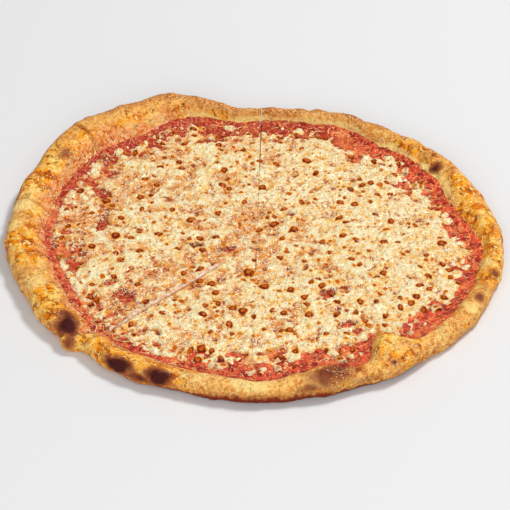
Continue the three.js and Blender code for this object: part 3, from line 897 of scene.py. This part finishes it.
def cheese_top(points, angle, radius, edge):
    """Height of the cheese and the marks that its material reads."""
    x, y = points[:, 0], points[:, 1]
    ridge = sample(level, x, y)
    lump = sample(lumps, x, y)
    hole = sample(bare, x, y)
    depths, thicknesses = zip(*EDGE_THICKNESS)
    thick = np.interp(edge - radius, depths, thicknesses)
    inner = np.clip((edge - radius) / 8.0, 0.0, 1.0)
    ragged = by_angle(angle, RAGGED_EDGES, 4.0) * np.clip(1.0 - (edge - radius) / 20.0, 0.0, 1.0)
    thick = thick + (0.15 + 0.27 * inner) * ridge + (0.75 - 0.37 * inner) * lump
    thick = thick + ragged * (0.8 * lump - 0.25)
    thick = thick + 0.20 * sample(sags, x, y) + 0.12 * sample(specks, x, y)
    thick = np.maximum(thick - 2.8 * hole, 1.6 * sample(islands, x, y) - 0.3 + 0.1 * ridge)
    thick = thick + sample(blister_rise, x, y)
    above = np.maximum(thick, 0.0)
    lipped = np.where(thick > 0.0, np.sqrt(above * (above + 1.2)), 1.4 * thick)
    up_slope = np.clip((radius - rim_foot(angle) + 2.5) / 4.0, 0.0, 1.0) ** 1.5
    lipped = lipped * (1.0 - up_slope) - 1.5 * up_slope
    groove = np.zeros(len(points))
    lift = np.zeros(len(points))
    cut_lip = np.zeros(len(points))
    for cut in range(8):
        turn = turn_from(angle, CUT_DIRECTIONS[cut])
        off = radius * np.sin(turn * DEGREE)
        close = np.abs(turn) < 60.0
        openness = np.clip(half_gap(cut, radius) * 25.0 - 0.3, 0.0, 1.0)
        groove = np.maximum(groove, close * openness * np.exp(-(off / 0.7) ** 2))
        if cut == 5:
            along = np.clip((radius - 24.0) / 14.0, 0.0, 1.0) * np.clip((140.0 - radius) / 12.0, 0.0, 1.0)
            lift += close * along * np.where(off < 0, 0.9 * np.exp(off / 4.0), -0.3 * np.exp(-off / 4.0))
            cut_lip += close * along * np.exp(-((off + 1.6) / 1.9) ** 2) * np.clip(1.0 + 0.5 * lump, 0.0, 1.0)
    buried = np.clip((radius - rim_foot(angle) - 1.0) / 2.0, 0.0, 1.0)
    under = ground(x, y)
    height = under + (SAUCE_TOP - 0.6 - under) * buried + lipped + lift - 0.15 * groove
    shore = np.clip(1.0 - (edge - radius) / 8.0, 0.0, 1.0)
    central = np.exp(-(radius / 45.0) ** 2)
    clear = 0.38 - 0.34 * lump - 0.26 * sample(sags, x, y) + 0.30 * central - 0.0052 * x - 0.4 * shore
    # Orange where the cheese runs thin between shreds and over holes; the same mark is low on ridge tops,
    # which are painted whiter as a highlight, and high in the hollows, which are painted darker as shade.
    vein = 0.31 - 0.25 * ridge - 0.14 * lump + 0.15 * np.clip(clear - 0.4, -0.3, 0.8) - 0.15 * shore
    vein = vein + 1.2 * hole + ragged * (0.15 - 0.2 * lump)
    marks = {
        "vein": np.clip(vein, -0.5, 1.5),
        "clear": clear,
        "groove": groove,
        "cut_lip": cut_lip,
        "oil": sample(oil, x, y),
        "browning": sample(browning, x, y) * (1.0 - hole),
        "blister_edge": sample(blister_edge, x, y) * (1.0 - hole),
    }
    return height, marks


def cheese_finish():
    finish = Finish("melted_mozzarella", 0.34, specular=0.06, coat=0.25, coat_roughness=0.08)
    fine = finish.noise(1.4, 2.0)
    streaks = finish.noise(3.0, 3.0)
    broad = finish.noise(8.0, 1.0)
    patches = finish.noise(9.0, 2.0)
    vein = finish.sum(finish.mark("vein"), finish.sum(streaks, -0.5), 1.3)
    vein = finish.sum(vein, finish.sum(fine, -0.5), 0.6)
    oily = finish.sum(finish.mark("oil"), finish.sum(broad, -0.5), 6.0)
    sheet = finish.blend(finish.between(oily, -1.2, 1.4), colour(255, 232, 180), colour(255, 200, 106))
    clear = finish.sum(finish.mark("clear"), finish.sum(patches, -0.5), 2.4)
    sheet = finish.blend(finish.between(clear, 0.46, 1.10, 0.0, 0.80), sheet, colour(242, 146, 60))
    # Whiter on the ridge tops, as painted highlight; orange and red-brown in the thin veins and hollows,
    # where sauce shows through, partly painted shade.
    sheet = finish.blend(finish.between(vein, 0.22, -0.15, 0.0, 0.9), sheet, colour(255, 246, 196))
    sheet = finish.blend(finish.between(vein, 0.38, 0.62, 0.0, 0.85), sheet, colour(218, 136, 64))
    sheet = finish.blend(finish.between(vein, 0.60, 0.86, 0.0, 0.95), sheet, colour(156, 50, 8))
    sheet = finish.blend(finish.between(fine, 0.43, 0.32, 0.0, 0.6), sheet, colour(184, 118, 62))
    # Tiny white specks: painted glints.
    sheet = finish.blend(finish.between(fine, 0.59, 0.69, 0.0, 0.8), sheet, colour(255, 248, 214))
    sheet = finish.blend(finish.product(finish.lines(4.0, 0.030), 0.7), sheet, colour(184, 104, 46))
    # Thin white winding streaks: painted highlights along the strands.
    sheet = finish.blend(finish.product(finish.lines(5.0, 0.034, 2.5), 0.95), sheet, colour(255, 250, 210))
    brown = finish.sum(finish.mark("browning"), finish.sum(fine, -0.5), 0.5)
    sheet = finish.blend(finish.between(brown, 0.05, 0.40, 0.0, 0.9), sheet, colour(246, 170, 54))
    sheet = finish.blend(finish.between(brown, 0.35, 0.75, 0.0, 1.0), sheet, colour(208, 98, 2))
    # Dark red-brown ring round the blisters: the browned edge, darker on one side as painted shade.
    ring = finish.sum(finish.mark("blister_edge"), finish.sum(fine, -0.5), 1.0)
    sheet = finish.blend(finish.between(ring, 0.20, 0.80, 0.0, 0.97), sheet, colour(112, 22, 0))
    # A thin red-brown line along the cuts that barely open: painted shade of the narrow gap, with the sauce
    # showing in it.
    groove = finish.between(finish.mark("groove"), 0.2, 0.9, 0.0, 0.85)
    sheet = finish.blend(groove, sheet, colour(176, 76, 24))
    # Pale pink lip on the raised edge of the front left cut: the pale pulled cheese, with a painted highlight
    # where the edge rises.
    lip = finish.blend(finish.between(streaks, 0.4, 0.6), colour(242, 172, 130), colour(255, 242, 222))
    sheet = finish.blend(finish.between(finish.mark("cut_lip"), 0.1, 0.8, 0.0, 0.9), sheet, lip)
    grain = finish.bump(fine, 1.0, 1.0)
    return finish.done(sheet, finish.bump(streaks, 2.6, 1.0, grain))


mozzarella = cheese_finish()
for wedge in range(8):
    rows = []
    edges = []
    tip = tip_angle(wedge)
    mean_edge = float(np.mean(cheese_edge(np.linspace(*CUT_DIRECTIONS[wedge:wedge + 2], 60) * DEGREE)))
    row_count = int((mean_edge + CHEESE_FRINGE) / CHEESE_STEP)

    def row_radius(at, share):
        reach = mean_edge + (cheese_edge(at) - mean_edge) * share ** 6 + CHEESE_FRINGE
        return share * np.minimum(reach, rim_foot(at) + CHEESE_FRINGE)

    for share in (np.arange(row_count) + 0.25) / (row_count - 0.75):
        angle = tip if not rows else row_angles(wedge, lambda at: row_radius(at, share), CHEESE_STEP)
        rows.append(around(angle, row_radius(angle, share), 0.0 * angle))
        edges.append(cheese_edge(angle))
    top_count = sum(len(row) for row in rows)
    for share in (0.97, 0.8, 0.5, 0.2, 0.03, 0.0):
        angle = tip if share == 0.0 else row_angles(wedge, lambda at: share * cheese_edge(at), 4.0)
        radius = max(share, 0.001) * cheese_edge(angle)
        rows.append(around(angle, radius, SAUCE_TOP - 1.0 + 0.0 * angle))
        edges.append(cheese_edge(angle))
    skin, cut_faces = wedge_triangles(rows)
    points = np.concatenate(rows)
    edge = np.concatenate(edges)
    angle = np.arctan2(points[:, 1], points[:, 0])
    height, marks = cheese_top(points, angle, np.hypot(points[:, 0], points[:, 1]), edge)
    points[:top_count, 2] = np.maximum(height[:top_count], SAUCE_TOP - 1.0)
    piece = make_piece(f"slice_{wedge + 1}_melted_cheese", points, skin, cut_faces, marks, [mozzarella])
    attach(piece, "root")
    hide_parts(f"slice_{wedge + 1}_cheese")

# Loose strings of cheese. Single shreds that fell on the sauce ring and on the
# inner slope of the rim, and melted on by themselves.
STRINGS = 300
STRING_LENGTH = (3.0, 11.0)
STRING_HALF_WIDTH = (0.25, 0.55)

# How crowded the strings lie: at (degrees), share
STRING_CROWDS = [
    (0, 0.5), (20, 1.0), (45, 0.8), (70, 0.9), (95, 0.8), (103, 0.0), (122, 0.0), (130, 1.6), (190, 1.6),
    (215, 1.6), (240, 1.2), (262, 0.4), (330, 0.3),
]

chance = np.random.default_rng(37)
points = []
triangles = []
total = 0
while len(points) < STRINGS:
    angle = np.array(chance.uniform(0.0, 2.0 * np.pi))
    reach = rim_foot(angle) + chance.uniform(-6.0, 8.0)
    turn = angle + 0.5 * np.pi + chance.normal(0.0, 0.7)
    length = chance.uniform(*STRING_LENGTH)
    half_width = chance.uniform(*STRING_HALF_WIDTH)
    bend = chance.normal(0.0, 0.16)
    if chance.uniform(0.0, 1.6) > by_angle(angle, STRING_CROWDS, 1.0):
        continue
    count = int(length / 0.7) + 3
    along = np.linspace(-0.5, 0.5, count) * length
    heading = turn + bend * along
    step = length / (count - 1)
    x = reach * np.cos(angle) + np.cumsum(np.cos(heading)) * step - 0.5 * length * np.cos(turn)
    y = reach * np.sin(angle) + np.cumsum(np.sin(heading)) * step - 0.5 * length * np.sin(turn)
    lie = np.maximum(dough_height(x, y) + 0.15, SAUCE_TOP + 0.4)
    lie = np.convolve(np.pad(lie, 1, mode="edge"), np.full(3, 1.0 / 3.0), mode="valid")
    taper = np.sqrt(np.clip(1.0 - (2.0 * along / length) ** 6, 0.03, 1.0)) * half_width
    rows = []
    for side_turn in (-90.0, -45.0, 0.0, 45.0, 90.0):
        sideways = np.sin(side_turn * DEGREE) * taper
        lifted = lie - 0.3 + (0.3 + 0.7 * taper) * np.cos(side_turn * DEGREE)
        beside = (x - np.sin(heading) * sideways, y + np.cos(heading) * sideways)
        rows.append(np.stack([*beside, lifted], axis=1))
    points.append(np.concatenate(rows))
    for row in range(4):
        first = total + row * count + np.arange(count - 1)
        triangles.append(np.stack([first, first + 1, first + count], axis=1)[:, ::-1])
        triangles.append(np.stack([first + 1, first + count + 1, first + count], axis=1)[:, ::-1])
    bottom = total + np.arange(count - 1)
    triangles.append(np.stack([bottom, bottom + 4 * count, bottom + 1], axis=1)[:, ::-1])
    triangles.append(np.stack([bottom + 1, bottom + 4 * count, bottom + 4 * count + 1], axis=1)[:, ::-1])
    total += 5 * count
points = np.concatenate(points)
triangles = np.concatenate(triangles)
marks = {"vein": 0.3 + 0.2 * dapple(points, 3.0, 41), "oil": 0.8 + 0.0 * points[:, 0]}
marks["clear"] = 0.8 + 0.5 * dapple(points, 7.0, 42)
strings = make_piece("loose_cheese_strings", points, triangles, triangles[:0], marks, [mozzarella])
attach(strings, "root")

# Semolina. Coarse grains of ground wheat that the dough was stretched on, and
# that stuck to its rim and baked on.
GRAINS = 900
GRAIN_RADIUS = (0.22, 0.42)
grain_shape = np.array([(1, 0, 0), (0, 1, 0), (-1, 0, 0), (0, -1, 0), (0, 0, 1), (0, 0, -1)], dtype=float)
grain_faces = np.array([
    (0, 1, 4), (1, 2, 4), (2, 3, 4), (3, 0, 4), (1, 0, 5), (2, 1, 5), (3, 2, 5), (0, 3, 5),
])
resting_places = np.concatenate(dusted)
resting_places = resting_places[chance.choice(len(resting_places), GRAINS, replace=False)]
sizes = chance.uniform(*GRAIN_RADIUS, (GRAINS, 1, 1)) * chance.uniform(0.7, 1.3, (GRAINS, 6, 1))
points = (resting_places[:, None, :] + grain_shape[None] * sizes).reshape(-1, 3)
triangles = (grain_faces[None] + 6 * np.arange(GRAINS)[:, None, None]).reshape(-1, 3)
flour = Finish("semolina", 0.8, specular=0.2)
pale_grain = flour.done(flour.blend(flour.noise(3.0), colour(250, 224, 168), colour(255, 244, 214)))
grains = make_piece("semolina_grains", points, triangles, triangles[:0], {}, [pale_grain])
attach(grains, "root")

# The floor, the light and the camera: a pale table top, a big soft light high
# on the right and behind, a weaker one on the left, and a long lens.
FLOOR_SIZE = 6.0
floor_mesh = bpy.data.meshes.new("table_top")
corners = [(-0.5, -0.5), (0.5, -0.5), (0.5, 0.5), (-0.5, 0.5)]
floor_mesh.from_pydata([(FLOOR_SIZE * x, FLOOR_SIZE * y, -0.0002) for x, y in corners], [], [(0, 1, 2, 3)])
floor = bpy.data.objects.new("table_top", floor_mesh)
bpy.context.scene.collection.objects.link(floor)
paint = Finish("pale_table_top", 0.7, specular=0.2)
pale_grey = paint.blend(paint.noise(900.0, 1.0), colour(222, 222, 222), colour(224, 224, 224))
floor_mesh.materials.append(paint.done(pale_grey))


def soft_light(name, place, size, power):
    data = bpy.data.lights.new(name, "AREA")
    data.shape = "DISK"
    data.size = size
    data.energy = power
    light = bpy.data.objects.new(name, data)
    bpy.context.scene.collection.objects.link(light)
    light.location = place
    light.rotation_euler = Vector(place).to_track_quat("Z", "Y").to_euler()


soft_light("key_light", (1.3, 1.0, 2.3), 0.7, 52.5)
soft_light("fill_light", (-0.3, -2.0, 1.2), 1.8, 29.0)
world = bpy.data.worlds.new("studio")
world.use_nodes = True
world.node_tree.nodes["Background"].inputs["Color"].default_value = (1.0, 1.0, 1.0, 1.0)
world.node_tree.nodes["Background"].inputs["Strength"].default_value = 0.38
bpy.context.scene.world = world
bpy.context.scene.view_settings.view_transform = "Standard"

CAMERA_HEIGHT = 40.0      # degrees above the table
CAMERA_DISTANCE = 1.8
CAMERA_LENS = 186.5
AIM = (0.0, -8.5, 8.0)    # from where the outline's own middle lies, mm
camera_data = bpy.data.cameras.new("camera")
camera_data.lens = CAMERA_LENS
camera_data.sensor_width = 36.0
camera = bpy.data.objects.new("camera", camera_data)
bpy.context.scene.collection.objects.link(camera)
middle = crossing - np.array(CUTS_OFF_MIDDLE)
aim = Vector((middle[0] + AIM[0], middle[1] + AIM[1], AIM[2])) * 0.001
back = Vector((0.0, -np.cos(CAMERA_HEIGHT * DEGREE), np.sin(CAMERA_HEIGHT * DEGREE)))
camera.location = aim + CAMERA_DISTANCE * back
camera.rotation_euler = back.to_track_quat("Z", "Y").to_euler()
bpy.context.scene.camera = camera
